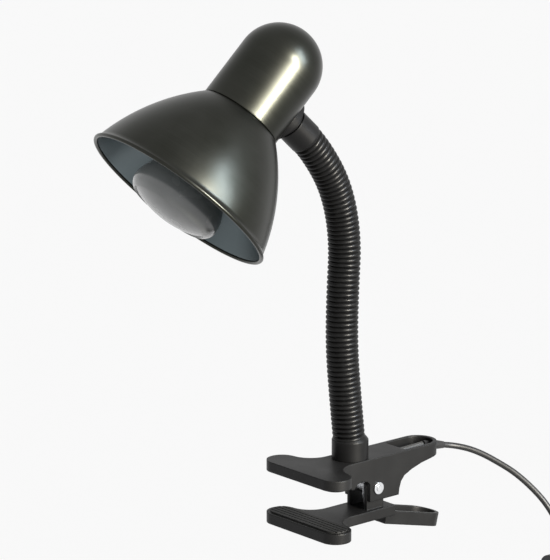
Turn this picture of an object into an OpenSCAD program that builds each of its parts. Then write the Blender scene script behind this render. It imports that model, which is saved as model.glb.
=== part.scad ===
// Clip-on reading lamp: a sprung two-lever clamp, a flexible arm and a spun steel head.
// Millimetres. +Z is up, +X runs along the gripped rail, +Y points back towards the cord.
// The origin is the middle of the upper jaw pad's gripping face.

/* [Clamp] */
// Length of each jaw along the rail
jaw_len = 74; // [60:1:90]
// Depth of each jaw, front to back
jaw_depth = 21; // [16:1:28]
// Thickness of the upper jaw
jaw_thick = 7; // [5:0.5:10]
// Gap between the two pads in the open, gripping position
jaw_gap = 27; // [20:1:32]
// Thickness of the rubber pads
pad_thick = 2; // [1.5:0.25:3]
// Height by which a pad stands proud of its jaw
pad_proud = 1; // [0.5:0.25:1.25]
// Width of the stem and handles
handle_width = 25; // [22:0.5:30]
// Distance from the jaw's middle to the end of the upper handle
handle_reach = 111; // [106:1:116]
// Radius of the hollow corners between jaw and stem
corner_r = 16; // [8:1:20]
// Wall thickness of the moulded levers
lever_wall = 2.5; // [2:0.25:3]
// Thickness of the upper lever's top plate
plate_thick = 3; // [2.5:0.25:4]
// Length of the open pocket at the end of the upper handle
pocket_len = 34; // [26:1:38]
// Depth of the pocket
pocket_depth = 6.4; // [5.5:0.1:6.5]
// Length of the lower lever's finger loop
loop_len = 53; // [44:1:56]
// Height of the finger loop's wall
loop_height = 9; // [7:0.5:11]
// Drop of the finger loop below the lower jaw's top
loop_drop = 3.7; // [2:0.1:4]

/* [Pivot] */
// Distance of the pivot behind the jaw's middle
pivot_y = 50.5; // [49:0.5:52]
// Depth of the pivot below the upper pad's face
pivot_drop = 13; // [12:0.5:14]
// Diameter of the pivot pin
pin_d = 4; // [3:0.25:5]
// Diameter of the spring wire
spring_wire = 1.6; // [1.2:0.1:2]
// Turns of the torsion spring
spring_turns = 5; // [3:1:6]

/* [Arm] */
// Distance of the post behind the jaw's middle
post_y = 36.5; // [35:0.5:38]
// Outer diameter of the base collar
collar_d = 24.5; // [23.5:0.5:26]
// Height of the base collar
collar_height = 15; // [14.5:0.5:20]
// Outer diameter of the corrugated sleeve
sleeve_d = 21.2; // [18:0.1:22]
// Outer diameter of the flexible steel core
core_d = 13.4; // [11:0.1:14]
// Bore of the flexible steel core
core_bore = 5; // [4.6:0.1:6]
// Diameter of the lead inside the arm
lead_d = 4; // [3:0.1:4.2]
// Diameter of the threaded tubes and their fittings
thread_d = 10; // [9:0.1:11]
// Radius of the ball-shaped ends of the arm's stretches
ball_r = 14.5; // [14:0.1:15]
// Clearance between two stretches of the arm
arm_gap = 0.3; // [0.2:0.05:0.5]

/* [Head] */
// Angle of the head's axis below the horizontal
head_tilt = 46; // [30:0.5:60]
// Turn of the head about the vertical
head_yaw = -8; // [-20:1:20]
// Distance of the dome's centre to the side of the jaw's middle
dome_side = -4; // [-8:0.5:4]
// Distance of the dome's centre in front of the jaw's middle
dome_front = 22.5; // [20:0.5:26]
// Height of the dome's centre above the upper pad's face
dome_height = 277; // [273:1:281]
// Outer diameter of the neck
neck_d = 55.6; // [54:0.2:60]
// Distance from the dome's centre to the crease at the bell
crease_at = 42; // [40:0.5:46]
// Outer diameter of the bell at its rim
rim_d = 131; // [120:1:145]
// Distance from the dome's centre to the rim
rim_at = 109; // [106:1:116]
// Radius of the bell's curved side
bell_curve_r = 137; // [120:1:180]
// Thickness of the spun sheet
sheet = 0.8; // [0.6:0.1:1.2]
// Diameter of the rolled bead at the rim
bead_d = 2.6; // [2:0.1:3.4]
// Distance from the dome's centre to the arm's stud
stud_at = 21; // [19:0.5:23]
// Length of the saddle along the neck
saddle_len = 31; // [26:1:34]
// Width of the saddle across the neck
saddle_width = 21; // [20:0.5:23]
// Outer diameter of the top ferrule
ferrule_d = 22.2; // [21.2:0.1:23]
// Distance of the last arm joint from the neck's axis
ferrule_out = 58; // [56:0.5:60]

/* [Lampholder and bulb] */
// Outer diameter of the lampholder
holder_d = 35; // [33:0.5:36]
// Length of the lampholder's body
holder_len = 28; // [24:1:30]
// Largest diameter of the bulb
bulb_d = 63; // [50:1:70]
// Overall length of the bulb
bulb_len = 103; // [98:1:106]
// Diameter of the bulb's screw cap
cap_d = 26.4; // [26:0.1:26.6]
// Length of the bulb's screw cap
cap_len = 27; // [24:0.5:28]
// Distance from the dome's centre to the bulb's contact
contact_at = 19.5; // [18.5:0.25:20.5]
// Thickness of the bulb's glass
glass = 0.8; // [0.6:0.1:1.2]

/* [Cord] */
// Diameter of the mains cord
cord_d = 4.2; // [3.6:0.1:5]
// Distance across the middle of the coil's turns
coil_d = 46; // [42:1:52]
// Thickness of the coil's bundle of turns
bundle_d = 16; // [14:0.5:20]
// Length of the in-line switch
switch_len = 62; // [50:1:70]
// Width of the in-line switch
switch_width = 26; // [22:1:30]
// Thickness of the in-line switch
switch_thick = 18; // [15:1:22]
// Angle of the rocker in its off position
rocker_tilt = 8; // [5:0.5:10]
// Length of the plug's body
plug_len = 36; // [32:1:42]
// Diameter of the plug's pins
plug_pin_d = 4; // [3.9:0.1:4.1]
// Length of the plug's pins
plug_pin_len = 19; // [18:0.5:20]
// Distance between the plug's pins
plug_pitch = 19; // [18:0.5:20]

/* [Hidden] */
$fn = 64;
// Small overshoot of cutting shapes
eps = 0.1;
// Running clearance of a shaft in a bore
run_gap = 0.08;
// Clearance of parts that seat on or in each other
seat_gap = 0.1;
// Clearance between moving parts side by side
side_gap = 0.3;

// Colours of the finishes
black_plastic = [0.07, 0.07, 0.07];
black_rubber = [0.12, 0.12, 0.12];
bright_steel = [0.7, 0.7, 0.72];
dark_steel = [0.35, 0.36, 0.36];
brass = [0.8, 0.65, 0.35];
ceramic = [0.9, 0.88, 0.84];
frosted = [0.8, 0.82, 0.83];

// Heights on the upper lever
lever_under = pad_proud;
lever_top = lever_under + jaw_thick;
plate_under = lever_top - plate_thick;
pocket_floor = lever_top - pocket_depth;
handle_r = handle_width / 2;
pocket_start = handle_reach - pocket_len;
cord_z = lever_top - 5.4;
// Fall of the strain relief and the cord's first stretch
exit_fall = 12;
relief_out = 11;

// Pivot, ears and spring
pivot = [0, pivot_y, -pivot_drop];
ear_r = 7.5;
ear_thick = lever_wall;
inner_half = handle_r - lever_wall;
ear_out = inner_half - side_gap;
skirt_foot = pivot[2] - 8.5;
spring_r = pin_d / 2 + 3;

// Lower lever
low_pad_top = -jaw_gap;
low_top = low_pad_top - pad_proud;
low_under = low_top - jaw_thick;
loop_start = pivot_y + 12;
loop_tilt = 14;

// Joints of the arm, from the collar to the ferrule
head_axis = [sin(head_yaw) * cos(head_tilt), -cos(head_yaw) * cos(head_tilt), -sin(head_tilt)];
stud_axis = [-sin(head_yaw) * sin(head_tilt), cos(head_yaw) * sin(head_tilt), -cos(head_tilt)];
dome = [dome_side, -dome_front, dome_height];
post_top = lever_top + collar_height;
collar_joint = [0, post_y, post_top - sqrt(ball_r * ball_r - sleeve_d * sleeve_d / 4)];
ferrule_joint = dome + stud_at * head_axis + ferrule_out * stud_axis;
arm_joints = [
    collar_joint, [0, 32.1, 49.4], [0, 28.4, 85.6], [0, 29.1, 122], [0, 31.4, 158.2], [0, 23.3, 193.3],
    ferrule_joint
];

// Neck, bell and what the stud carries, as distances from the neck's axis
neck_r = neck_d / 2;
neck_in = neck_r - sheet;
rim_r = rim_d / 2;
saddle_face = neck_r + 4.4;
ferrule_face = saddle_face + side_gap;
bracket_thick = 1.2;
bracket_width = 14;
bracket_out = neck_in - 1.2;
bracket_in = bracket_out - bracket_thick;
head_nut_thick = 3;
head_nut_in = bracket_in - seat_gap - head_nut_thick;
fitting_in = head_nut_in - 0.05;

// Lampholder, as distances along the head's axis from the dome's centre
holder_r = holder_d / 2;
holder_top = contact_at - 12;
bracket_at = holder_top - bracket_thick;
nipple_r = 4.9;
nipple_bore_r = 3.2;
nipple_nut_thick = 4;
nipple_top = bracket_at - nipple_nut_thick - 1;
insert_at = contact_at - 4;
insert_top = contact_at - 0.8;
body_at = contact_at + 3;
cap_r = cap_d / 2;
shell_in = cap_r + 0.7;
shell_wall = 0.7;
lead_r = lead_d / 2;
core_lead_r = 1.5;
neck_lead_y = -holder_r - core_lead_r - 0.45;

// Route of the lead under the upper lever's plate, from the strain relief into the post
handle_lead_route = [
    [0, handle_reach - 8.9, cord_z + 1.9], [0, 94, 4.3], [0, 86, 4.1], [0, 79, 3.95], [0, 75.3, 3.4],
    [0, 71, 2.7], [0, 65, 1.8],
    [0, 56, 1], [0, 49, -1.2], [0, 43, -4.4], [0, 39, -5.4], [0, 37, -3.6], [0, 36.5, 0],
    [0, 36.5, 8], [0, 36.5, 18], [0, 36.5, 27]
];
// Route of the mains cord, from the strain relief to the in-line switch
cord_route = [
    [0, 122.2, 0.2], [1, 127, -0.8], [4, 133, -2.2], [9, 139.5, -4.4], [15, 146, -8], [22, 152.5, -13],
    [30.5, 159.5, -19.5], [39, 166, -28], [47.5, 172, -38.5], [54.3, 176.5, -50.5], [58.8, 179.2, -63],
    [60, 180, -75.7]
];
// Place of the hanging stretch with the switch, coil and plug
hang = [60, 180];
switch_top_z = -76;
switch_foot_z = switch_top_z - switch_len;
coil_z = switch_foot_z - 38;
plug_top_z = coil_z - 40;
bead_r = bead_d / 2;

// A slot-shaped outline along X, centred on the origin
module slot_2d(length, width) {
    square([length - width, width], center = true);
    for (side = [-1, 1])
        translate([side * (length - width) / 2, 0])
            circle(d = width);
}

// A rectangle with round corners, centred on the origin
module round_rect(length, width, r) {
    square([length - 2 * r, width], center = true);
    square([length, width - 2 * r], center = true);
    for (x = [-1, 1], y = [-1, 1])
        translate([x * (length / 2 - r), y * (width / 2 - r)])
            circle(r = r);
}

// A slot-shaped outline along Y, from one Y to another
module strap_2d(from, to, width) {
    translate([-width / 2, from])
        square([width, to - from - width / 2]);
    translate([0, to - width / 2])
        circle(d = width);
}

// The hollow corners where the stem leaves a jaw
module stem_corners() {
    for (side = [-1, 1])
        scale([side, 1])
            difference() {
                translate([handle_r - eps, jaw_depth / 2 - eps])
                    square(corner_r + eps);
                translate([handle_r + corner_r, jaw_depth / 2 + corner_r])
                    circle(r = corner_r);
            }
}

// A side outline in Y and Z, extruded across X about the middle
module across(width) {
    rotate([90, 0, 90])
        translate([0, 0, -width / 2])
            linear_extrude(width)
                children();
}

// A plain hexagon nut with a round bore
module hex_nut(flats, thick, bore_r) {
    difference() {
        cylinder(d = flats / cos(30), h = thick, $fn = 6);
        translate([0, 0, -eps])
            cylinder(r = bore_r, h = thick + 2 * eps);
    }
}

// A flat ring
module ring(r_out, r_in, thick) {
    difference() {
        cylinder(r = r_out, h = thick);
        translate([0, 0, -eps])
            cylinder(r = r_in, h = thick + 2 * eps);
    }
}

// Points of a smooth curve through hand-chosen points, with a number of steps between two
function spline_at(a, b, c, d, t) =
    0.5 * (2 * b + (c - a) * t + (2 * a - 5 * b + 4 * c - d) * t * t
        + (3 * b - a - 3 * c + d) * t * t * t);
function smooth(p, steps) = [
    for (i = [0:len(p) - 2])
        for (k = [0:steps - 1])
            spline_at(p[max(i - 1, 0)], p[i], p[i + 1], p[min(i + 2, len(p) - 1)], k / steps),
    p[len(p) - 1]
];

// A round tube swept along points that never run straight along X
function heading(p, i) = let (d = p[min(i + 1, len(p) - 1)] - p[max(i - 1, 0)]) d / norm(d);
function ring_points(p, i, r, sides) =
    let (d = heading(p, i), c = cross(d, [1, 0, 0]), s = c / norm(c), u = cross(d, s))
    [for (k = [0:sides - 1]) p[i] + r * (cos(360 * k / sides) * s + sin(360 * k / sides) * u)];
module swept_tube(p, r, sides = 8) {
    last = len(p) - 1;
    polyhedron(
        points = [for (i = [0:last]) each ring_points(p, i, r, sides)],
        faces = [
            [for (k = [0:sides - 1]) k],
            [for (k = [sides - 1:-1:0]) last * sides + k],
            for (i = [0:last - 1], k = [0:sides - 1])
                let (a = i * sides, n = (k + 1) % sides)
                each [[a + k, a + sides + k, a + sides + n], [a + k, a + sides + n, a + n]]
        ]
    );
}

// Frames: the head's axis points down +Z from the dome, and the stud's away from the neck
module head_frame() {
    translate(dome)
        rotate([90 + head_tilt, 0, head_yaw])
            children();
}
module stud_frame() {
    head_frame()
        translate([0, 0, stud_at])
            rotate([90, 0, 0])
                children();
}

// ---- Clamp ----

// Side outline of the upper lever's skirts, from the jaw to the handle's end
module skirt_side() {
    polygon([
        [0, lever_top], [handle_reach, lever_top], [handle_reach, -0.6], [100, -1.5], [90, -3.3],
        [81, -6], [74.5, -9], [71.5, -12.5], [70, -17], [69.4, skirt_foot],
        [43.5, skirt_foot], [43.5, -9.5], [41, -7], [36, -6], [32, -7], [29.5, -10], [27, -10],
        [23, -4.5], [17, -1.5], [10, lever_under], [0, lever_under]
    ]);
}

// The strain relief's axis: out through the handle's end wall, a little downhill
module relief_frame() {
    translate([0, handle_reach, cord_z])
        rotate([-90 - exit_fall, 0, 0])
            children();
}

module upper_lever() {
    color(black_plastic)
        difference() {
            union() {
                translate([0, 0, lever_under])
                    linear_extrude(jaw_thick)
                        union() {
                            slot_2d(jaw_len, jaw_depth);
                            stem_corners();
                        }
                intersection() {
                    translate([0, 0, skirt_foot])
                        linear_extrude(lever_top - skirt_foot)
                            strap_2d(0, handle_reach, handle_width);
                    across(handle_width)
                        skirt_side();
                }
            }
            // channel under the top plate
            translate([0, 0, skirt_foot - eps])
                linear_extrude(plate_under - skirt_foot + eps)
                    translate([-inner_half, jaw_depth / 2 + 2])
                        square([2 * inner_half, pocket_start - lever_wall - jaw_depth / 2 - 2]);
            // pocket at the handle's end
            translate([0, 0, pocket_floor])
                linear_extrude(pocket_depth + eps)
                    difference() {
                        strap_2d(pocket_start, handle_reach - lever_wall, 2 * inner_half);
                        translate([-handle_r, 0])
                            square([handle_width, pocket_start]);
                    }
            // way for the lead out of the pocket
            translate([0, pocket_start + eps, pocket_floor + lead_r - 0.2])
                rotate([90, 0, 0])
                    cylinder(r = lead_r + 0.6, h = lever_wall + 2 * eps + 1);
            // seat of the pad
            translate([0, 0, lever_under - eps])
                linear_extrude(pad_thick - pad_proud + eps)
                    slot_2d(jaw_len - 5, jaw_depth - 5);
            // holes for the post, the strain relief and the pivot pin
            translate([0, post_y, 0])
                cylinder(r = thread_d / 2 + seat_gap, h = lever_top + eps);
            relief_frame()
                translate([0, 0, -lever_wall - 6.4])
                    cylinder(r = 2.7 + seat_gap, h = lever_wall + 8);
            translate([-handle_r - eps, pivot[1], pivot[2]])
                rotate([0, 90, 0])
                    cylinder(r = pin_d / 2 + seat_gap / 2, h = handle_width + 2 * eps);
        }
}

module upper_jaw_pad() {
    color(black_rubber)
        linear_extrude(pad_thick)
            slot_2d(jaw_len - 5 - 2 * seat_gap, jaw_depth - 5 - 2 * seat_gap);
}

// Side outline of one ear of the lower lever, hanging from the pivot pin
module ear_side() {
    difference() {
        union() {
            translate([pivot[1], pivot[2]])
                circle(r = ear_r);
            translate([pivot[1] - ear_r, low_under + 2])
                square([2 * ear_r, pivot[2] - low_under - 2]);
        }
        translate([pivot[1], pivot[2]])
            circle(r = pin_d / 2 + run_gap);
    }
}

module lower_lever() {
    color(black_plastic) {
        // jaw and stem
        difference() {
            union() {
                translate([0, 0, low_under])
                    linear_extrude(jaw_thick)
                        union() {
                            slot_2d(jaw_len, jaw_depth);
                            stem_corners();
                            translate([-handle_r, 0])
                                square([handle_width, loop_start + 4]);
                        }
                for (side = [-1, 1])
                    translate([side * (ear_out - ear_thick / 2), 0, 0])
                        across(ear_thick)
                            ear_side();
                // finger loop
                translate([0, loop_start, low_top - loop_drop])
                    rotate([-loop_tilt, 0, 0])
                        translate([0, 0, -loop_height])
                            linear_extrude(loop_height)
                                strap_2d(-3, loop_len, handle_width - 1);
            }
            // hollow underside of the stem
            translate([-inner_half, jaw_depth / 2 + 4, low_under - eps])
                cube([2 * inner_half, pivot_y - jaw_depth / 2 - 14, jaw_thick - lever_wall + eps]);
            // opening of the finger loop
            translate([0, loop_start, low_top - loop_drop])
                rotate([-loop_tilt, 0, 0])
                    translate([0, 0, -2 * loop_height])
                        linear_extrude(3 * loop_height)
                            difference() {
                                strap_2d(8, loop_len - lever_wall, 2 * inner_half - 1);
                                translate([-handle_r, 0])
                                    square([handle_width, 8]);
                            }
            // seat of the pad
            translate([0, 0, low_top - pad_thick + pad_proud])
                linear_extrude(pad_thick)
                    slot_2d(jaw_len - 5, jaw_depth - 5);
        }
    }
}

module lower_jaw_pad() {
    rib = 2.4;
    groove = 0.8;
    color(black_rubber)
        difference() {
            translate([0, 0, low_pad_top - pad_thick])
                linear_extrude(pad_thick)
                    slot_2d(jaw_len - 5 - 2 * seat_gap, jaw_depth - 5 - 2 * seat_gap);
            for (row = [-2:1])
                translate([-jaw_len / 2, (row + 0.5) * (rib + groove) - groove / 2, low_pad_top - 0.7])
                    cube([jaw_len, groove, 1]);
        }
}

module pivot_pin() {
    color(bright_steel)
        translate([-handle_r - 1.6, pivot[1], pivot[2]])
            rotate([0, 90, 0])
                cylinder(d = pin_d, h = handle_width + 3.2);
}

module pin_caps() {
    color(bright_steel)
        for (side = [-1, 1])
            translate([0, pivot[1], pivot[2]])
                rotate([0, side * 90, 0])
                    translate([0, 0, handle_r + seat_gap / 2])
                        ring(4, pin_d / 2 + seat_gap / 2, 1.2);
}

// The spring's wire: a leg under the handle, the turns round the pin, and a leg on the lower lever
module torsion_spring() {
    steps = 20;
    half = spring_turns * (spring_wire + 0.15) / 2;
    turn_points = [
        for (i = [0:spring_turns * steps])
            let (a = 90 - 360 * i / steps)
            [
                -half + 2 * half * i / (spring_turns * steps),
                pivot[1] + spring_r * cos(a),
                pivot[2] + spring_r * sin(a)
            ]
    ];
    upper_leg = [
        [-half, pivot[1] + 17, plate_under - spring_wire / 2 - side_gap],
        [-half, pivot[1] + 11, pivot[2] + spring_r + 6],
        [-half, pivot[1] + 5, pivot[2] + spring_r + 1]
    ];
    lower_leg = [
        [half, pivot[1] - 4, pivot[2] + spring_r + 0.6],
        [half, pivot[1] - 5.6, pivot[2] + 2],
        [half, pivot[1] - 5.6, pivot[2] - 5],
        [half, pivot[1] - 4, low_top + spring_wire / 2 + side_gap]
    ];
    color(bright_steel)
        swept_tube(concat(upper_leg, turn_points, lower_leg), spring_wire / 2);
}

// ---- Post and arm ----

module base_collar() {
    color(black_plastic)
        difference() {
            union() {
                translate([0, post_y, lever_top])
                    cylinder(d = collar_d, h = collar_joint[2] - lever_top + eps);
                intersection() {
                    translate(collar_joint)
                        cylinder(d = collar_d, h = ball_r);
                    translate(collar_joint)
                        sphere(r = ball_r);
                }
            }
            translate([0, post_y, lever_top - eps])
                cylinder(r = thread_d / 2 + seat_gap, h = 6);
            translate([0, post_y, lever_top + 4])
                cylinder(r = core_d / 2 + seat_gap, h = collar_height + ball_r);
        }
}

module base_fitting() {
    color(bright_steel)
        difference() {
            union() {
                translate([0, post_y, plate_under - 6.5])
                    cylinder(d = thread_d, h = plate_thick + 11);
                translate([0, post_y, lever_top + 4 + seat_gap])
                    cylinder(d = core_d, h = collar_joint[2] - lever_top - 4 - seat_gap + eps);
                intersection() {
                    translate(collar_joint)
                        cylinder(d = core_d, h = ball_r);
                    translate(collar_joint)
                        sphere(r = ball_r);
                }
            }
            translate([0, post_y, plate_under - 7])
                cylinder(d = core_bore, h = collar_height + 2 * ball_r);
        }
}

module base_washer() {
    color(bright_steel)
        translate([0, post_y, plate_under - 1.1])
            ring(8, thread_d / 2 + seat_gap, 1);
}

module base_nut() {
    color(bright_steel)
        translate([0, post_y, plate_under - 1.2 - 4])
            hex_nut(14, 4, thread_d / 2 + seat_gap / 2);
}

// One layer of one stretch of the arm: a cup round the joint below it, a ball round the one above
module arm_stretch(i, r_out, r_in) {
    a = arm_joints[i - 1];
    b = arm_joints[i];
    length = norm(b - a);
    translate(a)
        rotate([0, acos((b[2] - a[2]) / length), atan2(b[1] - a[1], b[0] - a[0])])
            difference() {
                union() {
                    cylinder(r = r_out, h = length);
                    intersection() {
                        cylinder(r = r_out, h = length + ball_r);
                        translate([0, 0, length])
                            sphere(r = ball_r);
                    }
                }
                sphere(r = ball_r + arm_gap);
                if (r_in > 0)
                    cylinder(r = r_in, h = length + 2 * ball_r);
            }
}

module arm_sleeve(i) {
    color(black_plastic)
        arm_stretch(i, sleeve_d / 2, core_d / 2 + side_gap);
}

module arm_core(i) {
    color(bright_steel)
        arm_stretch(i, core_d / 2, core_bore / 2);
}

module arm_lead(i) {
    color(black_rubber)
        arm_stretch(i, lead_r, 0);
}

// ---- Head joint ----

module top_ferrule() {
    color(black_plastic)
        difference() {
            stud_frame()
                translate([0, 0, ferrule_face])
                    cylinder(d = ferrule_d, h = ferrule_out - ferrule_face);
            translate(ferrule_joint)
                sphere(r = ball_r + arm_gap);
            stud_frame()
                cylinder(r = thread_d / 2 + seat_gap, h = ferrule_out);
        }
}

module top_fitting() {
    color(bright_steel)
        difference() {
            stud_frame()
                translate([0, 0, fitting_in])
                    cylinder(d = thread_d, h = ferrule_out - fitting_in);
            translate(ferrule_joint)
                sphere(r = ball_r + arm_gap);
            stud_frame()
                cylinder(d = core_bore, h = ferrule_out);
        }
}

module head_nut() {
    color(bright_steel)
        stud_frame()
            translate([0, 0, head_nut_in])
                hex_nut(14, head_nut_thick, thread_d / 2 + seat_gap / 2);
}

// Pointed oval saddle that hugs the neck round the stud
module head_saddle() {
    lens_r = (saddle_len * saddle_len + saddle_width * saddle_width) / (4 * saddle_width);
    color(black_plastic)
        stud_frame()
            difference() {
                union() {
                    linear_extrude(saddle_face - 1.4)
                        intersection_for (side = [-1, 1])
                            translate([side * (lens_r - saddle_width / 2), 0])
                                circle(r = lens_r);
                    cylinder(d = min(ferrule_d, saddle_width) - 0.4, h = saddle_face);
                }
                rotate([90, 0, 0])
                    cylinder(r = neck_r + seat_gap / 2, h = 2 * saddle_len, center = true);
                cylinder(r = thread_d / 2 + run_gap, h = saddle_face + eps);
            }
}

module head_washer() {
    color(bright_steel)
        stud_frame()
            translate([0, 0, bracket_out + seat_gap / 2])
                ring(5.9, thread_d / 2 + run_gap, 0.5);
}

// ---- Head ----

module neck_cup() {
    color(dark_steel)
        head_frame()
            difference() {
                union() {
                    sphere(r = neck_r);
                    cylinder(r = neck_r, h = crease_at);
                }
                sphere(r = neck_in);
                cylinder(r = neck_in, h = crease_at + eps);
                translate([0, 0, stud_at])
                    rotate([90, 0, 0])
                        cylinder(r = thread_d / 2 + run_gap, h = neck_d);
            }
}

// The bell's outer side is an arc through the crease and the rim
bell_from = [neck_r, crease_at + seat_gap];
bell_to = [rim_r - bead_r, rim_at - bead_r];
bell_chord = bell_to - bell_from;
bell_half = norm(bell_chord) / 2;
bell_rise = sqrt(bell_curve_r * bell_curve_r - bell_half * bell_half);
bell_centre = (bell_from + bell_to) / 2 + [-bell_chord[1], bell_chord[0]] / norm(bell_chord) * bell_rise;
bell_a0 = atan2(bell_from[1] - bell_centre[1], bell_from[0] - bell_centre[0]);
bell_a1 = atan2(bell_to[1] - bell_centre[1], bell_to[0] - bell_centre[0]);
function bell_arc(r, steps) = [
    for (i = [0:steps])
        let (a = bell_a0 + (bell_a1 - bell_a0) * i / steps)
        bell_centre + r * [cos(a), sin(a)]
];

module bell_shade() {
    steps = 16;
    outer = bell_arc(bell_curve_r, steps);
    inner = bell_arc(bell_curve_r - sheet, steps);
    color(dark_steel)
        head_frame() {
            rotate_extrude()
                union() {
                    polygon(concat(outer, [for (i = [steps:-1:0]) inner[i]]));
                    // collar pressed into the neck cup
                    translate([neck_in - seat_gap / 2 - sheet, crease_at - 8])
                        square([sheet, 8 + seat_gap + 0.5]);
                    translate([neck_in - seat_gap / 2 - sheet, crease_at + seat_gap])
                        square([neck_r - neck_in + seat_gap / 2 + sheet, sheet]);
                    // rolled bead
                    translate(bell_to)
                        circle(r = bead_r);
                }
        }
}

// Steel angle that hangs the lampholder from the stud
module holder_bracket() {
    color(bright_steel)
        head_frame()
            difference() {
                union() {
                    translate([-bracket_width / 2, -bracket_out, bracket_at])
                        cube([bracket_width, bracket_thick, stud_at + 8 - bracket_at]);
                    translate([-bracket_width / 2, -bracket_out, bracket_at])
                        cube([bracket_width, bracket_out + 8, bracket_thick]);
                }
                translate([0, 0, stud_at])
                    rotate([90, 0, 0])
                        cylinder(r = thread_d / 2 + run_gap, h = neck_d);
                translate([0, 0, bracket_at - eps])
                    cylinder(r = nipple_r + seat_gap, h = bracket_thick + 2 * eps);
                translate([0, neck_lead_y, bracket_at - eps])
                    cylinder(r = core_lead_r + 0.5, h = bracket_thick + 2 * eps);
            }
}

module holder_nipple() {
    color(bright_steel)
        head_frame()
            translate([0, 0, nipple_top])
                ring(nipple_r, nipple_bore_r, holder_top + 5 - nipple_top);
}

module nipple_nut() {
    color(bright_steel)
        head_frame()
            translate([0, 0, bracket_at - seat_gap - nipple_nut_thick])
                hex_nut(14, nipple_nut_thick, nipple_r + seat_gap / 2);
}

module holder_cap() {
    color(black_plastic)
        head_frame()
            difference() {
                translate([0, 0, holder_top + seat_gap])
                    union() {
                        cylinder(r1 = holder_r - 3, r2 = holder_r, h = 3);
                        translate([0, 0, 3])
                            cylinder(r = holder_r, h = body_at - holder_top - 3 - seat_gap);
                    }
                translate([0, 0, holder_top])
                    cylinder(r = nipple_r + seat_gap / 2, h = body_at - holder_top);
                translate([0, 0, holder_top + 5])
                    cylinder(r = shell_in + shell_wall + seat_gap, h = body_at);
            }
}

module holder_insert() {
    color(ceramic)
        head_frame()
            translate([0, 0, insert_at])
                difference() {
                    cylinder(r = shell_in + shell_wall, h = insert_top - insert_at);
                    for (side = [-1, 1])
                        translate([side * 9, 0, -eps])
                            cylinder(r = 1.5 + seat_gap, h = insert_top - insert_at + 2 * eps);
                }
}

module terminal_screws() {
    color(brass)
        head_frame()
            for (side = [-1, 1])
                translate([side * 9, 0, insert_at]) {
                    cylinder(r = 1.5, h = insert_top - insert_at);
                    translate([0, 0, -1.3])
                        cylinder(r = 2.6, h = 1.3);
                }
}

module holder_contact() {
    color(brass)
        head_frame()
            translate([0, 0, insert_top])
                cylinder(r = 4, h = contact_at - insert_top - 0.05);
}

module holder_body() {
    color(black_plastic)
        head_frame()
            translate([0, 0, body_at + seat_gap])
                ring(holder_r, shell_in + shell_wall + seat_gap, holder_len);
}

module holder_shell() {
    color(brass)
        head_frame()
            translate([0, 0, insert_top + 0.05])
                ring(shell_in + shell_wall, shell_in, body_at + holder_len - 3 - insert_top);
}

// Cores of the lead: out of the stud, up past the bracket and down through the nipple
module neck_lead() {
    route = [
        [0, -fitting_in - 1, stud_at - 0.1], [0, -fitting_in + 0.9, stud_at - 1],
        [0, neck_lead_y, stud_at - 5], [0, neck_lead_y, 10], [0, neck_lead_y, 3],
        [0, neck_lead_y + 2, -2], [0, -12, -6], [0, -5, -7.5], [0, -1, -4.5], [0, 0, 0],
        [0, 0, 13]
    ];
    color(black_rubber)
        head_frame()
            swept_tube(smooth(route, 3), core_lead_r);
}

// ---- Bulb ----

// Outline of the bulb's glass: neck, reflector cone, shoulder arc and crowned face
bulb_r = bulb_d / 2;
bulb_tip = contact_at + bulb_len;
bulb_neck = cap_r - 0.2;
shoulder_r = 7;
function glass_side(inset) = [
    [0, contact_at + cap_len + 0.5 + inset],
    [bulb_neck - inset, contact_at + cap_len + 0.5 + inset],
    [bulb_neck - inset, contact_at + cap_len + 6],
    [bulb_neck + 2 - inset, contact_at + cap_len + 12],
    [bulb_r * 0.62 - inset, bulb_tip - 42],
    [bulb_r * 0.86 - inset, bulb_tip - 26],
    for (i = [0:8])
        let (a = -25 + 90 * i / 8)
        [
            bulb_r - shoulder_r + (shoulder_r - inset) * cos(a),
            bulb_tip - 12 + (shoulder_r - inset) * sin(a)
        ],
    for (i = [1:4])
        let (s = 1 - i / 4)
        [(bulb_r - shoulder_r + 3) * s, bulb_tip - inset - 5.6 * s * s]
];

module bulb_glass() {
    color(frosted)
        head_frame()
            difference() {
                rotate_extrude()
                    polygon(glass_side(0));
                rotate_extrude()
                    polygon(glass_side(glass));
            }
}

// Screw cap, its thread as round ridges
module bulb_cap() {
    ridges = 6;
    low = contact_at + 4;
    pitch = (cap_len - 9) / ridges;
    color(bright_steel)
        head_frame()
            rotate_extrude()
                difference() {
                    polygon([
                        [0, low],
                        for (i = [0:ridges - 1])
                            each [
                                [cap_r - 1.1, low + pitch * i + 0.2],
                                [cap_r, low + pitch * (i + 0.5)]
                            ],
                        [cap_r - 1.1, low + pitch * ridges + 0.2],
                        [cap_r - 0.3, contact_at + cap_len - 2],
                        [cap_r - 0.3, contact_at + cap_len + 0.4],
                        [0, contact_at + cap_len + 0.4]
                    ]);
                    translate([0, low + 1])
                        square([cap_r - 2, cap_len - 7]);
                }
}

module bulb_base() {
    color(black_plastic)
        head_frame()
            translate([0, 0, contact_at]) {
                cylinder(r = 4.5, h = 1);
                translate([0, 0, 1])
                    cylinder(r1 = 6, r2 = cap_r - 1.3, h = 3);
            }
}

// ---- Cord ----

module strain_relief() {
    color(black_rubber)
        relief_frame() {
            translate([0, 0, -lever_wall - 6])
                cylinder(r = 2.7, h = lever_wall + 8);
            translate([0, 0, 1])
                cylinder(r = 3.3, h = 1.4);
            translate([0, 0, 2.3])
                cylinder(r1 = 3.3, r2 = cord_d / 2 + 0.3, h = relief_out - 2.3);
        }
}

module handle_lead() {
    color(black_rubber)
        swept_tube(smooth(handle_lead_route, 3), lead_r);
}

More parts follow.
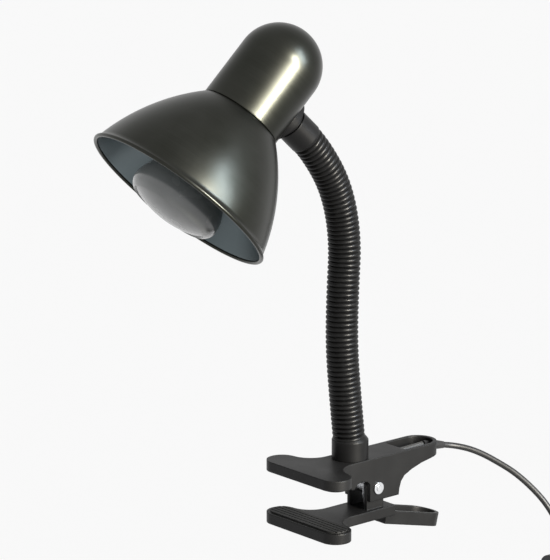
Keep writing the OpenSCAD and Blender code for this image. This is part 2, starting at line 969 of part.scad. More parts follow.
module mains_cord() {
    to_coil = [for (i = [0:2]) [hang[0], hang[1], switch_foot_z - i * (switch_foot_z - coil_z - 22) / 2]];
    to_plug = [for (i = [0:2]) [hang[0], hang[1], coil_z - 21 - i * (coil_z - 21 - plug_top_z) / 2]];
    color(black_rubber) {
        swept_tube(smooth(cord_route, 4), cord_d / 2);
        swept_tube(to_coil, cord_d / 2);
        swept_tube(to_plug, cord_d / 2);
    }
}

module cord_coil() {
    color(black_rubber)
        translate([hang[0] + coil_d / 2, hang[1], coil_z])
            rotate([90, 0, 0])
                rotate_extrude()
                    translate([coil_d / 2, 0])
                        circle(d = bundle_d);
}

module cord_tie() {
    color(black_plastic)
        translate([hang[0] + coil_d, hang[1], coil_z - 4])
            ring(bundle_d / 2 + 1.8, bundle_d / 2 + 0.6, 8);
}

// One half of the in-line switch's case, on one side of its parting plane
module switch_half(back) {
    translate([hang[0], hang[1], switch_top_z - switch_len / 2])
        rotate([90, 0, 0])
            difference() {
                translate([0, 0, back ? -switch_thick / 2 : 0])
                    linear_extrude(switch_thick / 2)
                        rotate(90)
                            round_rect(switch_len, switch_width, 8);
                translate([0, 0, back ? -switch_thick / 2 + 2 : -eps])
                    linear_extrude(switch_thick / 2 - 2 + eps)
                        rotate(90)
                            round_rect(switch_len - 5, switch_width - 5, 6);
                if (!back)
                    linear_extrude(switch_thick)
                        square([11, 24], center = true);
            }
}

module switch_front() {
    color(black_plastic)
        switch_half(false);
}

module switch_back() {
    color(black_plastic)
        translate([0, seat_gap / 2, 0])
            switch_half(true);
}

rocker_pivot = [hang[0], hang[1] - switch_thick / 2 + 3, switch_top_z - switch_len / 2];

module switch_rocker() {
    color(black_plastic)
        translate(rocker_pivot)
            rotate([rocker_tilt, 0, 0])
                rotate([0, 90, 0])
                    translate([0, 0, -5])
                        linear_extrude(10)
                            intersection() {
                                translate([-11, -7])
                                    square([22, 12]);
                                translate([0, 6])
                                    circle(r = 13);
                            }
}

module plug_body() {
    color(black_plastic)
        translate([hang[0], hang[1], plug_top_z])
            hull() {
                translate([0, 0, -2])
                    cylinder(d = cord_d + 3, h = 2, $fn = 32);
                translate([0, 0, -14])
                    linear_extrude(1)
                        round_rect(19, 11, 4, $fn = 32);
                translate([0, 0, -plug_len])
                    linear_extrude(8)
                        round_rect(plug_pitch + 13, 13.7, 6, $fn = 32);
            }
}

module plug_pins() {
    color(bright_steel)
        for (side = [-1, 1])
            translate([hang[0] + side * plug_pitch / 2, hang[1], plug_top_z - plug_len - plug_pin_len])
                cylinder(d = plug_pin_d, h = plug_pin_len);
}

upper_lever();
upper_jaw_pad();
lower_lever();
lower_jaw_pad();
pivot_pin();
pin_caps();
torsion_spring();
base_collar();
base_fitting();
base_washer();
base_nut();
arm_sleeve(1);  // arm_sleeve_1
arm_sleeve(2);  // arm_sleeve_2
arm_sleeve(3);  // arm_sleeve_3
arm_sleeve(4);  // arm_sleeve_4
arm_sleeve(5);  // arm_sleeve_5
arm_sleeve(6);  // arm_sleeve_6
arm_core(1);  // arm_core_1
arm_core(2);  // arm_core_2
arm_core(3);  // arm_core_3
arm_core(4);  // arm_core_4
arm_core(5);  // arm_core_5
arm_core(6);  // arm_core_6
arm_lead(1);  // arm_lead_1
arm_lead(2);  // arm_lead_2
arm_lead(3);  // arm_lead_3
arm_lead(4);  // arm_lead_4
arm_lead(5);  // arm_lead_5
arm_lead(6);  // arm_lead_6
top_ferrule();
top_fitting();
head_nut();
head_saddle();
head_washer();
neck_cup();
bell_shade();
holder_bracket();
holder_nipple();
nipple_nut();
holder_cap();
holder_insert();
holder_contact();
terminal_screws();
holder_body();
holder_shell();
neck_lead();
bulb_glass();
bulb_cap();
bulb_base();
strain_relief();
handle_lead();
mains_cord();
cord_coil();
cord_tie();
switch_front();
switch_back();
switch_rocker();
plug_body();
plug_pins();
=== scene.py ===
import math

import bmesh
import bpy
import numpy as np
from mathutils import Matrix


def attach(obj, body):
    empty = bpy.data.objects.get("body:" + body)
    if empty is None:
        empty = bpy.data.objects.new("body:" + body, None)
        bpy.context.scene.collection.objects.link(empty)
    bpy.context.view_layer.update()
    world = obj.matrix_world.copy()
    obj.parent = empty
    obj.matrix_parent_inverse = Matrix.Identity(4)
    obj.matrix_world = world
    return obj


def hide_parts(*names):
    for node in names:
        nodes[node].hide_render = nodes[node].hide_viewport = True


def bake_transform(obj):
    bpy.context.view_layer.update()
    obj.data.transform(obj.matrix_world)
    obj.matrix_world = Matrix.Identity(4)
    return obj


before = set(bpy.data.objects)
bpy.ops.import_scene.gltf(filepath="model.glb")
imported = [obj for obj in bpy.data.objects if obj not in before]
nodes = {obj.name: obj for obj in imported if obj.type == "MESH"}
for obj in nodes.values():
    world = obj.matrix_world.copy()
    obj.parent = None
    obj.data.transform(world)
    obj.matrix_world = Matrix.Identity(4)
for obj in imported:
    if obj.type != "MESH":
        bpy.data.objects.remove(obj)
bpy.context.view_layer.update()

scene = bpy.context.scene
scene.view_settings.view_transform = "Standard"
mm = 0.001


# ---- Camera ----
# A long lens 2 m away, a little above the lamp, looking across the arm with the
# shade on the left and the clamp's handles on the right.
azimuth, elevation = math.radians(49.3), math.radians(13.6)
towards = np.array([
    math.sin(azimuth) * math.cos(elevation), -math.cos(azimuth) * math.cos(elevation), math.sin(elevation)
])
rightwards = np.array([math.cos(azimuth), math.sin(azimuth), 0.0])
upwards = np.cross(towards, rightwards)
# the lens length is in picture widths, and so is the place of the post's foot in the picture:
# that far right of the middle and that far below it
focal = 5.5714
foot_right, foot_below = 0.13393, 0.31696
camera_distance = 2.0
lamp_middle = np.array([0.0, -0.02, 0.16])
post_foot = np.array([0.0, 0.0365, 0.008])
depth = camera_distance - (post_foot - lamp_middle) @ towards
place = post_foot + depth * (towards - foot_right * rightwards / focal + foot_below * upwards / focal)
sensor_width = 36
camera = bpy.data.objects.new("camera", bpy.data.cameras.new("camera"))
camera.data.sensor_width = sensor_width
camera.data.lens = sensor_width * focal
camera.data.clip_end = 50
camera.matrix_world = Matrix([
    [rightwards[i], upwards[i], towards[i], place[i]] for i in range(3)
] + [[0, 0, 0, 1]])
scene.collection.objects.link(camera)
scene.camera = camera


# ---- Cord ----
# A round black PVC mains lead, 4.2 mm thick. It leaves the upper handle through a tapered
# strain relief and hangs; a tie holds the spare length in a coil, and it ends in a plug.
class Field:
    """A number that varies over a surface: a socket with Python's operators, each one a Math node."""

    def __init__(self, tree, socket):
        self.tree, self.socket = tree, socket

    def math(self, operation, first, second):
        node = self.tree.nodes.new("ShaderNodeMath")
        node.operation = operation
        for slot, value in zip(node.inputs, (first, second)):
            if isinstance(value, Field):
                self.tree.links.new(value.socket, slot)
            else:
                slot.default_value = value
        return Field(self.tree, node.outputs[0])

    def __add__(self, other):
        return self.math("ADD", self, other)

    def __radd__(self, other):
        return self.math("ADD", other, self)

    def __sub__(self, other):
        return self.math("SUBTRACT", self, other)

    def __rsub__(self, other):
        return self.math("SUBTRACT", other, self)

    def __mul__(self, other):
        return self.math("MULTIPLY", self, other)

    def __rmul__(self, other):
        return self.math("MULTIPLY", other, self)

    def __pow__(self, other):
        return self.math("POWER", self, other)


class Finish:
    """A material: one shader with fixed values, and the nodes that vary its colour, roughness and bump."""

    def __init__(self, name, **fixed):
        self.material = bpy.data.materials.new(name)
        self.material.use_nodes = True
        self.tree = self.material.node_tree
        self.shader = self.tree.nodes["Principled BSDF"]
        for socket, value in fixed.items():
            self.shader.inputs[socket.replace("_", " ")].default_value = value

    def node(self, kind, settings, sockets):
        node = self.tree.nodes.new(kind)
        for setting, value in settings.items():
            setattr(node, setting, value)
        for socket, value in sockets.items():
            slot = node.inputs[socket]
            if isinstance(value, Field):
                self.tree.links.new(value.socket, slot)
            elif isinstance(value, bpy.types.NodeSocket):
                self.tree.links.new(value, slot)
            else:
                slot.default_value = value
        return node

    def noise(self, scale, detail=3.0, stretch=(1, 1, 1), uv=False):
        """Smooth noise from 0 to 1, on metres of the piece or on its UV map, stretched by three factors."""
        where = self.node("ShaderNodeTexCoord", {}, {}).outputs["UV" if uv else "Object"]
        scaled = self.node("ShaderNodeVectorMath", {"operation": "MULTIPLY"}, {0: where, 1: stretch})
        sockets = {"Vector": scaled.outputs[0], "Scale": scale, "Detail": detail}
        out = self.node("ShaderNodeTexNoise", {}, sockets)
        return Field(self.tree, out.outputs["Fac"])

    def range(self, field, low, high, to_low, to_high):
        out = self.node("ShaderNodeMapRange", {}, {
            "Value": field, "From Min": low, "From Max": high, "To Min": to_low, "To Max": to_high
        })
        return Field(self.tree, out.outputs["Result"])

    def colour(self, mask, dark, light):
        mix = self.node("ShaderNodeMix", {"data_type": "RGBA"}, {0: mask, 6: (*dark, 1), 7: (*light, 1)})
        self.tree.links.new(mix.outputs[2], self.shader.inputs["Base Color"])

    def roughness(self, field):
        self.tree.links.new(field.socket, self.shader.inputs["Roughness"])

    def bump(self, height, distance, edge=0.0):
        """Raises the surface by the height field; an edge radius also softens the sharp corners."""
        sockets = {"Height": height, "Distance": distance, "Strength": 1.0}
        if edge:
            sockets["Normal"] = self.node("ShaderNodeBevel", {"samples": 6}, {"Radius": edge}).outputs[0]
        out = self.node("ShaderNodeBump", {}, sockets)
        self.tree.links.new(out.outputs[0], self.shader.inputs["Normal"])


def moulded(name, dark, light, rough, grain, edge=0.0, size=2500, **fixed):
    """Plastic or rubber from a mould: slow patches of tone and sheen over a fine even grain."""
    finish = Finish(name, **fixed)
    patches, fine = finish.noise(40, 4), finish.noise(size, 2)
    finish.colour(patches * 0.6 + fine * 0.4, dark, light)
    finish.roughness(finish.range(patches, 0.3, 0.7, rough - 0.05, rough + 0.06) + fine * 0.04)
    finish.bump(fine, grain, edge)
    return finish.material


def dress(material, *names):
    for name in names:
        nodes[name].data.materials.clear()
        nodes[name].data.materials.append(material)


def smooth(points, steps):
    """Catmull-Rom curve: it passes each point, and between two it blends them and their neighbours."""
    p = np.vstack([points[0], points, points[-1]])
    t = np.linspace(0, 1, steps, endpoint=False)[None, :, None]
    a, b, c, d = (p[i:len(p) - 3 + i, None, :] for i in range(4))
    curve = 0.5 * (2 * b + (c - a) * t + (2 * a - 5 * b + 4 * c - d) * t**2 + (3 * b - a - 3 * c + d) * t**3)
    return np.vstack([curve.reshape(-1, 3), points[-1]])


cord_rubber = moulded("cord_rubber", (0.005, 0.005, 0.0055), (0.012, 0.012, 0.0125), 0.42, 0.00003,
                      Specular_IOR_Level=0.3)
cord_d = 0.0042
hang_x, hang_y = 0.060, 0.180
switch_mid, coil_z, coil_r, plug_top = -0.107, -0.176, 0.023, -0.216
falling = smooth(np.array([
    [0, 122.2, 0.2], [1, 127, -0.8], [4, 133, -2.2], [9, 139.5, -4.4], [15, 146, -8], [22, 152.5, -13],
    [30.5, 159.5, -19.5], [39, 166, -28], [47.5, 172, -38.5], [54.3, 176.5, -50.5], [58.8, 179.2, -63],
    [60, 180, -75.7]
]) * mm, 3)
through = np.array([[hang_x, hang_y, z] for z in (-0.09, switch_mid, -0.125, -0.140)])
# the ten places that the winding takes in the coil's bundle, out from its middle and across it
lay = np.array([
    [-4.3, -3.72], [0, -3.72], [4.3, -3.72], [6.45, 0], [2.15, 0], [-2.15, 0], [-6.45, 0], [-4.3, 3.72],
    [0, 3.72], [4.3, 3.72]
]) * mm + np.array([0.0004, 0])
# round each of these angles, in degrees, the winding goes on to its next place in a smooth step
change = np.array([300, 660, 940, 1220, 1580, 1940, 2220, 2520, 2880])
change_length = 75
turns = 9
points_per_turn = 30
angle = np.linspace(0, 360 * turns, points_per_turn * turns + 1)
step = np.clip((angle[:, None] - change[None, :]) / change_length + 0.5, 0, 1)
step = step * step * (3 - 2 * step)
spot = lay[0] + step @ np.diff(lay, axis=0)
winding = np.stack([
    hang_x + coil_r - (coil_r + spot[:, 0]) * np.cos(np.radians(angle)),
    hang_y + spot[:, 1],
    coil_z - (coil_r + spot[:, 0]) * np.sin(np.radians(angle))
], axis=1)
ending = np.array([[hang_x - 0.001, hang_y + 0.0012, coil_z - 0.022], [hang_x, hang_y, plug_top + 0.008],
                   [hang_x, hang_y, plug_top + 0.001]])
lead_in = np.array([[hang_x + 0.0006, hang_y - 0.0006, -0.148]])
route = np.vstack([falling, through, lead_in, winding, ending])
line = bpy.data.curves.new("mains_lead", "CURVE")
line.dimensions = "3D"
spline = line.splines.new("POLY")
spline.points.add(len(route) - 1)
spline.points.foreach_set("co", np.hstack([route, np.ones((len(route), 1))]).ravel())
line.bevel_depth = cord_d / 2
line.bevel_resolution = 4
line.use_fill_caps = True
line.materials.append(cord_rubber)
mains_lead = bpy.data.objects.new("mains_lead", line)
scene.collection.objects.link(mains_lead)
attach(mains_lead, "clamp")
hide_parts("mains_cord", "cord_coil")
dress(cord_rubber, "mains_cord", "cord_coil", "strain_relief")


# ---- Switch, plug and tie ----
# The in-line switch is two black moulded halves with a rocker. The plug is moulded
# on the cord and has two nickel-plated pins. A black strap ties the coil.
case_plastic = moulded("case_plastic", (0.012, 0.012, 0.013), (0.02, 0.02, 0.021), 0.36, 0.00002, 0.0009)
dress(case_plastic, "switch_front", "switch_back", "plug_body")
dress(moulded("rocker_plastic", (0.02, 0.02, 0.02), (0.032, 0.032, 0.032), 0.22, 0.00001, 0.0006),
      "switch_rocker")
dress(moulded("tie_plastic", (0.012, 0.012, 0.012), (0.022, 0.022, 0.022), 0.5, 0.00003), "cord_tie")


def plated(name, dark, light, rough, edge=0.0, **fixed):
    """Plated or plain metal: cloudy tone, and a roughness that rises where it has been handled."""
    finish = Finish(name, Metallic=1.0, **fixed)
    clouds, fine = finish.noise(90, 4), finish.noise(1400, 3)
    finish.colour(clouds, dark, light)
    finish.roughness(finish.range(clouds * 0.5 + fine * 0.5, 0.3, 0.7, rough - 0.06, rough + 0.1))
    finish.bump(fine, 0.000012, edge)
    return finish.material


nickel = plated("nickel", (0.58, 0.57, 0.54), (0.72, 0.71, 0.68), 0.22, 0.0005)
dress(nickel, "plug_pins")


# ---- Clamp ----
# Two levers of black glass-filled plastic, moulded with a fine matt grain, turn on a steel
# pin. Rubber pads sit in their jaws and a torsion spring closes them.
lever_plastic = moulded("lever_plastic", (0.002, 0.002, 0.0021), (0.006, 0.006, 0.0062), 0.42, 0.00006,
                        0.0012, 1700, Specular_IOR_Level=0.2)
dress(lever_plastic, "upper_lever", "lower_lever")
pad_rubber = moulded("pad_rubber", (0.003, 0.003, 0.003), (0.007, 0.007, 0.007), 0.65, 0.00005, 0.0005,
                     Specular_IOR_Level=0.3)
dress(pad_rubber, "upper_jaw_pad", "lower_jaw_pad")
zinc = plated("zinc", (0.5, 0.51, 0.53), (0.66, 0.67, 0.69), 0.3, 0.0003)
dress(zinc, "pivot_pin", "pin_caps", "torsion_spring", "base_fitting", "base_washer", "base_nut",
      *[f"arm_core_{i}" for i in range(1, 7)])
lead_rubber = moulded("lead_rubber", (0.016, 0.016, 0.016), (0.028, 0.028, 0.028), 0.5, 0.00003)
dress(lead_rubber, "handle_lead", "neck_lead", *[f"arm_lead_{i}" for i in range(1, 7)])


# ---- Flexible arm ----
# A wound steel tube inside a black corrugated plastic sleeve, held by a smooth collar at
# the clamp and a ferrule at the head. Its ribs are round and about 3.4 mm apart.
def grid_mesh(name, points, uv, wrap_rows):
    """A grid of points, closed round its columns and, if asked, round its rows, as one mesh of quads."""
    rows, columns = points.shape[:2]
    mesh = bpy.data.meshes.new(name)
    last = rows if wrap_rows else rows - 1
    i, j = np.meshgrid(np.arange(last), np.arange(columns), indexing="ij")
    corners = [(i, j), (i, j + 1), (i + 1, j + 1), (i + 1, j)]
    faces = np.stack([(a % rows) * columns + b % columns for a, b in corners], axis=-1).reshape(-1, 4)
    mesh.vertices.add(rows * columns)
    mesh.vertices.foreach_set("co", points.reshape(-1))
    mesh.loops.add(faces.size)
    mesh.loops.foreach_set("vertex_index", faces.reshape(-1))
    mesh.polygons.add(len(faces))
    mesh.polygons.foreach_set("loop_start", np.arange(0, faces.size, 4))
    mesh.update(calc_edges=True)
    layer = mesh.uv_layers.new(name="UVMap")
    spots = np.stack([np.stack([b / columns, uv[a % rows]], axis=-1) for a, b in corners], axis=-2)
    layer.data.foreach_set("uv", spots.reshape(-1))
    mesh.polygons.foreach_set("use_smooth", np.ones(len(faces), dtype=bool))
    piece = bpy.data.objects.new(name, mesh)
    scene.collection.objects.link(piece)
    shape = bmesh.new()
    shape.from_mesh(mesh)
    bmesh.ops.remove_doubles(shape, verts=shape.verts, dist=1e-6)
    bmesh.ops.recalc_face_normals(shape, faces=shape.faces)
    shape.to_mesh(mesh)
    shape.free()
    mesh.set_sharp_from_angle(angle=math.radians(50))
    return piece


tilt, yaw = math.radians(46), math.radians(-8)
head_axis = np.array([math.sin(yaw) * math.cos(tilt), -math.cos(yaw) * math.cos(tilt), -math.sin(tilt)])
stud_axis = np.array([-math.sin(yaw) * math.sin(tilt), math.cos(yaw) * math.sin(tilt), -math.cos(tilt)])
dome = np.array([-4, -22.5, 277]) * mm
stud_at, ferrule_out = 0.021, 0.058
stud_foot = dome + stud_at * head_axis
# centres of the arm's joints, from the one in the collar to the one in the ferrule
joints = np.array([[0, 36.5, 13.106], [0, 32.1, 49.4], [0, 28.4, 85.6], [0, 29.1, 122], [0, 31.4, 158.2],
                   [0, 23.3, 193.3]]) * mm
joints = np.vstack([joints, stud_foot + ferrule_out * stud_axis])
middles = (joints[1:] + joints[:-1]) / 2
sleeve_r, sleeve_in, rib_pitch, groove = 0.0108, 0.0070, 0.0034, 0.0012
rib_rows, sleeve_sides = 10, 56
# the sleeve starts this far beyond the collar's joint and ends this far beyond the ferrule's
sleeve_start, sleeve_end = 0.0085, 0.0115


def ribbed(name, start, control, end):
    """A tube along a quadratic curve from start to end that leaves and arrives towards the control point.

    Its radius is the sleeve's, less a groove between each two ribs: the depth times one minus the
    absolute sine of the distance in rib pitches times pi, to the power 1.3. The inner wall is plain.
    """
    t = np.linspace(0, 1, 400)[:, None]
    fine = (1 - t)**2 * start + 2 * t * (1 - t) * control + t**2 * end
    run = np.concatenate([[0], np.cumsum(np.linalg.norm(np.diff(fine, axis=0), axis=1))])
    ribs = max(1, round(run[-1] / rib_pitch))
    along = np.linspace(0, 1, ribs * rib_rows + 1)
    t = np.interp(along, run / run[-1], t[:, 0])[:, None]
    centre = (1 - t)**2 * start + 2 * t * (1 - t) * control + t**2 * end
    heading = (1 - t) * (control - start) + t * (end - control)
    heading /= np.linalg.norm(heading, axis=1)[:, None]
    side = np.array([1.0, 0, 0]) - heading * heading[:, :1]
    side /= np.linalg.norm(side, axis=1)[:, None]
    other = np.cross(heading, side)
    radius = sleeve_r - groove * (1 - np.abs(np.sin(math.pi * along * ribs)))**1.3
    a = np.linspace(0, 2 * math.pi, sleeve_sides, endpoint=False)
    ring = np.cos(a)[None, :, None] * side[:, None, :] + np.sin(a)[None, :, None] * other[:, None, :]
    outer = centre[:, None, :] + radius[:, None, None] * ring
    inner = centre[:, None, :] + sleeve_in * ring
    rows = np.vstack([outer, inner[::-1]])
    return grid_mesh(name, rows, np.concatenate([along, along[::-1]]), True)


sleeve = Finish("sleeve_plastic", Specular_IOR_Level=0.16)
dust, fine = sleeve.noise(220, 3), sleeve.noise(2600, 2)
sleeve.colour(dust * 0.7 + fine * 0.3, (0.0015, 0.0015, 0.0016), (0.004, 0.004, 0.0042))
sleeve.roughness(sleeve.range(dust, 0.3, 0.7, 0.3, 0.44))
sleeve.bump(fine, 0.00002)
for i in range(7):
    if i == 0:
        first = joints[0] + (joints[1] - joints[0]) / np.linalg.norm(joints[1] - joints[0]) * sleeve_start
        bend = (first + middles[0]) / 2
    else:
        first, bend = middles[i - 1], joints[i]
    second = middles[i] if i < 6 else joints[6] - stud_axis * sleeve_end
    piece = ribbed(f"sleeve_{i + 1}", first, bend, second)
    piece.data.materials.append(sleeve.material)
    if i:
        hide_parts(f"arm_sleeve_{i}")
    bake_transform(piece)

collar_plastic = moulded("collar_plastic", (0.0015, 0.0015, 0.0016), (0.004, 0.004, 0.0042), 0.36, 0.00002,
                         0.0008, Specular_IOR_Level=0.16)
dress(collar_plastic, "base_collar", "top_ferrule", "head_saddle", *[f"arm_sleeve_{i}" for i in range(1, 7)])
dress(zinc, "top_fitting", "head_nut", "head_washer", "holder_bracket", "holder_nipple", "nipple_nut")


# ---- Shade ----
# A deep-drawn steel neck with a domed end, and a spun steel bell pressed into it and rolled
# at its rim. Both are dark satin plated, with fine turning lines under clear lacquer; the lacquer is not
# drawn.
across = np.cross(stud_axis, head_axis)


def turned(name, profile, closed, sides=192):
    """The profile's points, as distances from the head's axis and along it, carried round that axis.

    At angle a a point lies at dome + s * axis + r * (cos a * across + sin a * stud direction).
    """
    r, s = profile[:, 0] * mm, profile[:, 1] * mm
    a = np.linspace(0, 2 * math.pi, sides, endpoint=False)
    out = np.cos(a)[:, None] * across + np.sin(a)[:, None] * stud_axis
    points = dome + s[:, None, None] * head_axis + r[:, None, None] * out[None]
    step = np.linalg.norm(np.diff(profile, axis=0), axis=1)
    return grid_mesh(name, points, np.concatenate([[0], np.cumsum(step)]) * mm, closed)


def arc(centre, radius, start, end, count):
    """Points of a circle's arc, from one angle in degrees to another."""
    a = np.radians(np.linspace(start, end, count))
    return np.stack([centre[0] + radius * np.cos(a), centre[1] + radius * np.sin(a)], axis=1)


def satin(name, dark, light, rough):
    """Satin plated sheet: turning lines that run round the axis and faint clouds."""
    finish = Finish(name, Metallic=1.0)
    lines = finish.noise(1.0, 4, (7, 5200, 1), uv=True)
    clouds = finish.noise(24, 4)
    finish.colour(finish.range(clouds * 0.7 + lines * 0.3, 0.3, 0.7, 0, 1), dark, light)
    finish.roughness(finish.range(lines * 0.5 + clouds * 0.5, 0.3, 0.7, rough - 0.03, rough + 0.05))
    finish.bump(lines, 0.000006)
    return finish.material


neck_r, sheet, crease, rim_r, rim_at, bead = 27.8, 0.8, 42.0, 65.5, 109.0, 1.3
neck_profile = np.vstack([
    arc((0, 0), neck_r, -90, 0, 40), [[neck_r, 14], [neck_r, 28], [neck_r, crease - 1.2]],
    arc((neck_r - 0.5, crease - 0.5), 0.5, 0, 90, 5), [[neck_r - sheet, crease], [neck_r - sheet, 20]],
    arc((0, 0), neck_r - sheet, 0, -90, 32)
])
shade_satin = satin("shade_satin", (0.026, 0.027, 0.022), (0.046, 0.047, 0.042), 0.30)
neck = turned("neck_shell", neck_profile, False)
neck.data.materials.append(shade_satin)
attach(neck, "head")
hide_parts("neck_cup")

# The bell's side is an arc from the crease to the rolled bead. Its collar goes up into the neck.
bell_start = np.array([neck_r, crease + 0.1])
bead_centre = np.array([rim_r - bead, rim_at - bead])
chord = bead_centre - bell_start
normal = np.array([-chord[1], chord[0]]) / np.linalg.norm(chord)
bell_r = 137.0
middle = (bell_start + bead_centre) / 2 + normal * math.sqrt(bell_r**2 - (np.linalg.norm(chord) / 2)**2)
from_angle, to_angle = (math.degrees(math.atan2(*(p - middle)[::-1])) for p in (bell_start, bead_centre))
outside = arc(middle, bell_r, from_angle, to_angle, 56)
inside = arc(middle, bell_r - sheet, to_angle - 0.35, from_angle, 48)
collar_in, collar_out, collar_top = neck_r - 1.6, neck_r - 0.95, crease - 7.9
bell_profile = np.vstack([
    [[neck_r - 0.9, crease + 0.1], [neck_r - 0.35, crease + 0.12]], outside[1:-2],
    arc(bead_centre, bead, to_angle - 50, to_angle + 225, 22), inside[:-1],
    [[collar_in, crease + 0.9], [collar_in, collar_top], [collar_out, collar_top]]
])
bell = turned("bell", bell_profile, True)
bell.data.materials.append(shade_satin)
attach(bell, "head")
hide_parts("bell_shade")
# the inside of the bell, short of its bead, is a paler satin than the outside, and its dim blue-grey colour
# is painted shade, the shade inside the bell
inner_satin_painted_shade = satin("inner_satin_painted_shade", (0.12, 0.15, 0.16), (0.19, 0.22, 0.23), 0.34)
bell.data.materials.append(inner_satin_painted_shade)
inner_end = (rim_at - 2.2) * mm
centres = np.empty(len(bell.data.polygons) * 3)
facing = np.empty(len(bell.data.polygons) * 3)
bell.data.polygons.foreach_get("center", centres)
bell.data.polygons.foreach_get("normal", facing)
centres, facing = centres.reshape(-1, 3) - dome, facing.reshape(-1, 3)
outwards = centres - (centres @ head_axis)[:, None] * head_axis
inner_side = ((outwards * facing).sum(1) < 0) & (centres @ head_axis < inner_end)
bell.data.polygons.foreach_set("material_index", inner_side.astype(np.int32))


# ---- Lampholder ----
# A black moulded holder with a brass screw shell and a glazed ceramic insert, hung from the
# stud by a steel angle. The bulb hides most of it.
dress(moulded("holder_plastic", (0.012, 0.012, 0.012), (0.022, 0.022, 0.022), 0.4, 0.00003, 0.0005),
      "holder_cap", "holder_body")
dress(moulded("ceramic", (0.78, 0.76, 0.71), (0.86, 0.84, 0.8), 0.2, 0.00001), "holder_insert")
dress(plated("brass", (0.62, 0.45, 0.2), (0.78, 0.6, 0.32), 0.25),
      "holder_contact", "terminal_screws", "holder_shell")


# ---- Bulb ----
# A reflector bulb 63 mm across: a frosted crowned face, a silvered cone behind it, and a
# nickel screw cap with a black glass insulator. The face and the cone are drawn as one piece in the frosted
# finish.
contact, bulb_r, bulb_len, cap_r, cap_len = 19.5, 31.5, 103, 13.2, 27.5
tip = contact + bulb_len
bulb_profile = np.vstack([
    [[0, contact + cap_len], [cap_r - 0.6, contact + cap_len], [cap_r - 0.2, contact + cap_len + 0.5]],
    smooth(np.array([
        [cap_r - 0.2, contact + 33, 0], [cap_r + 1.6, contact + 39, 0], [19.5, tip - 42, 0],
        [26.7, tip - 27, 0], [30.6, tip - 18, 0]
    ]), 10)[:, :2],
    arc((bulb_r - 9, tip - 12.4), 9, -12, 62, 14),
    np.stack([(bulb_r - 5) * np.linspace(0.985, 0, 18), tip - 5.6 * np.linspace(0.985, 0, 18)**2.2], axis=1)
])
# the glass's mid grey is partly its own frosted tone and partly painted shade, darkened for the shade it sits
# in under the bell
shaded_frost = Finish("frosted_glass", Specular_IOR_Level=0.6, Coat_Weight=0.5, Coat_Roughness=0.1)
mottle, speck = shaded_frost.noise(60, 3), shaded_frost.noise(900, 2)
shaded_frost.colour(mottle * 0.8 + speck * 0.2, (0.2, 0.21, 0.205), (0.33, 0.34, 0.335))
shaded_frost.roughness(shaded_frost.range(mottle, 0.3, 0.7, 0.2, 0.3))
shaded_frost.bump(speck, 0.00001)
glass = turned("bulb_envelope", bulb_profile, False)
glass.data.materials.append(shaded_frost.material)
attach(glass, "bulb")
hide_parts("bulb_glass")
dress(nickel, "bulb_cap")
dress(moulded("black_glass", (0.01, 0.01, 0.01), (0.02, 0.02, 0.02), 0.12, 0.00001), "bulb_base")
dress(shaded_frost.material, "bulb_glass")
dress(shade_satin, "neck_cup", "bell_shade")


# ---- Floor and light ----
# A plain white floor under the hanging plug, an even white surround, a tall warm softbox to the
# right of the camera with a cool one above it, a low one for the bulb's face and two small ones behind.
def seen_directly(tree):
    """One for rays that carry the picture: from the camera, off mirrors and through glass."""
    rays = tree.nodes.new("ShaderNodeLightPath")
    seen = Field(tree, rays.outputs["Is Camera Ray"]) + Field(tree, rays.outputs["Is Glossy Ray"])
    return seen + Field(tree, rays.outputs["Is Transmission Ray"])


def whitened(tree, shader, amount):
    """What the camera and mirrors see of a surface: that much plain white over the lit shader."""
    white = tree.nodes.new("ShaderNodeEmission")
    white.inputs["Strength"].default_value = 1.0
    mix = tree.nodes.new("ShaderNodeMixShader")
    tree.links.new((seen_directly(tree) * amount).socket, mix.inputs[0])
    tree.links.new(shader, mix.inputs[1])
    tree.links.new(white.outputs[0], mix.inputs[2])
    return mix.outputs[0]


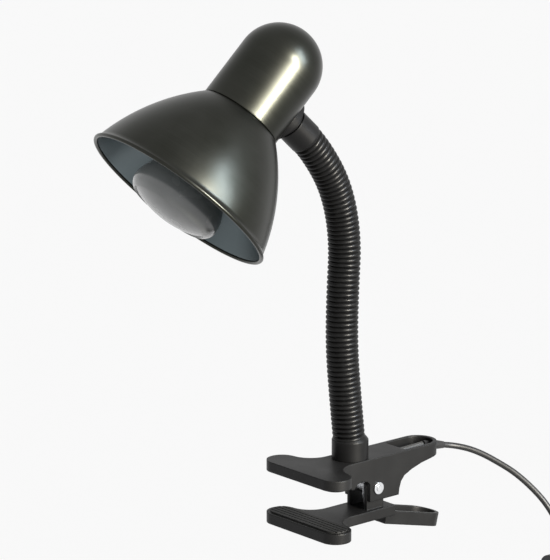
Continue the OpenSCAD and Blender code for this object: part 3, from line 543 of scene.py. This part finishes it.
reach, floor_z = 8.0, -0.285
floor = grid_mesh("floor", np.array([
    [[-reach, -reach, floor_z], [reach, -reach, floor_z]], [[-reach, reach, floor_z], [reach, reach, floor_z]]
]), np.array([0.0, 1.0]), False)
paper = Finish("paper", Roughness=0.9)
paper.colour(paper.noise(3), (0.83, 0.83, 0.83), (0.86, 0.86, 0.86))
out = paper.tree.nodes["Material Output"]
paper.tree.links.new(whitened(paper.tree, paper.shader.outputs[0], 0.94), out.inputs["Surface"])
floor.data.materials.append(paper.material)

world = bpy.data.worlds.new("surround")
scene.world = world
world.use_nodes = True
tree = world.node_tree
sky = tree.nodes["Background"]
sky.inputs["Color"].default_value = (0.97, 0.985, 1.0, 1)
sky.inputs["Strength"].default_value = 0.65
bright = tree.nodes.new("ShaderNodeBackground")
bright.inputs["Strength"].default_value = 1.0
blend = tree.nodes.new("ShaderNodeMixShader")
tree.links.new(seen_directly(tree).socket, blend.inputs[0])
tree.links.new(sky.outputs[0], blend.inputs[1])
tree.links.new(bright.outputs[0], blend.inputs[2])
tree.links.new(blend.outputs[0], tree.nodes["World Output"].inputs[0])


def softbox(name, right, up, distance, width, height, power, colour):
    """A soft panel aimed at the shade, placed by its angles right of and above the camera's direction."""
    aim = np.array([0.0, -0.04, 0.2])
    r, u = math.radians(right), math.radians(up)
    way = math.cos(u) * (math.cos(r) * towards + math.sin(r) * rightwards) + math.sin(u) * upwards
    lamp = bpy.data.lights.new(name, "AREA")
    lamp.shape = "RECTANGLE"
    lamp.size = width
    lamp.size_y = height
    lamp.energy = power
    lamp.color = colour
    panel = bpy.data.objects.new(name, lamp)
    side = np.cross(np.array([0, 0, 1.0]), way)
    side /= np.linalg.norm(side)
    top = np.cross(way, side)
    spot = aim + way * distance
    panel.matrix_world = Matrix([[side[i], top[i], way[i], spot[i]] for i in range(3)] + [[0, 0, 0, 1]])
    panel.visible_camera = False
    scene.collection.objects.link(panel)


softbox("key", 45, 6, 2.0, 0.2, 1.2, 200, (1.0, 0.95, 0.84))
softbox("cool", 64, 20, 2.2, 0.3, 1.2, 50, (0.72, 0.84, 1.0))
softbox("face", -12, -42, 1.6, 0.2, 0.2, 9, (1.0, 0.98, 0.94))
softbox("glint", -166, -20, 1.1, 0.09, 0.09, 3.5, (1.0, 0.98, 0.92))
softbox("low_glint", -150, -34, 1.1, 0.07, 0.07, 2.5, (1.0, 0.98, 0.92))
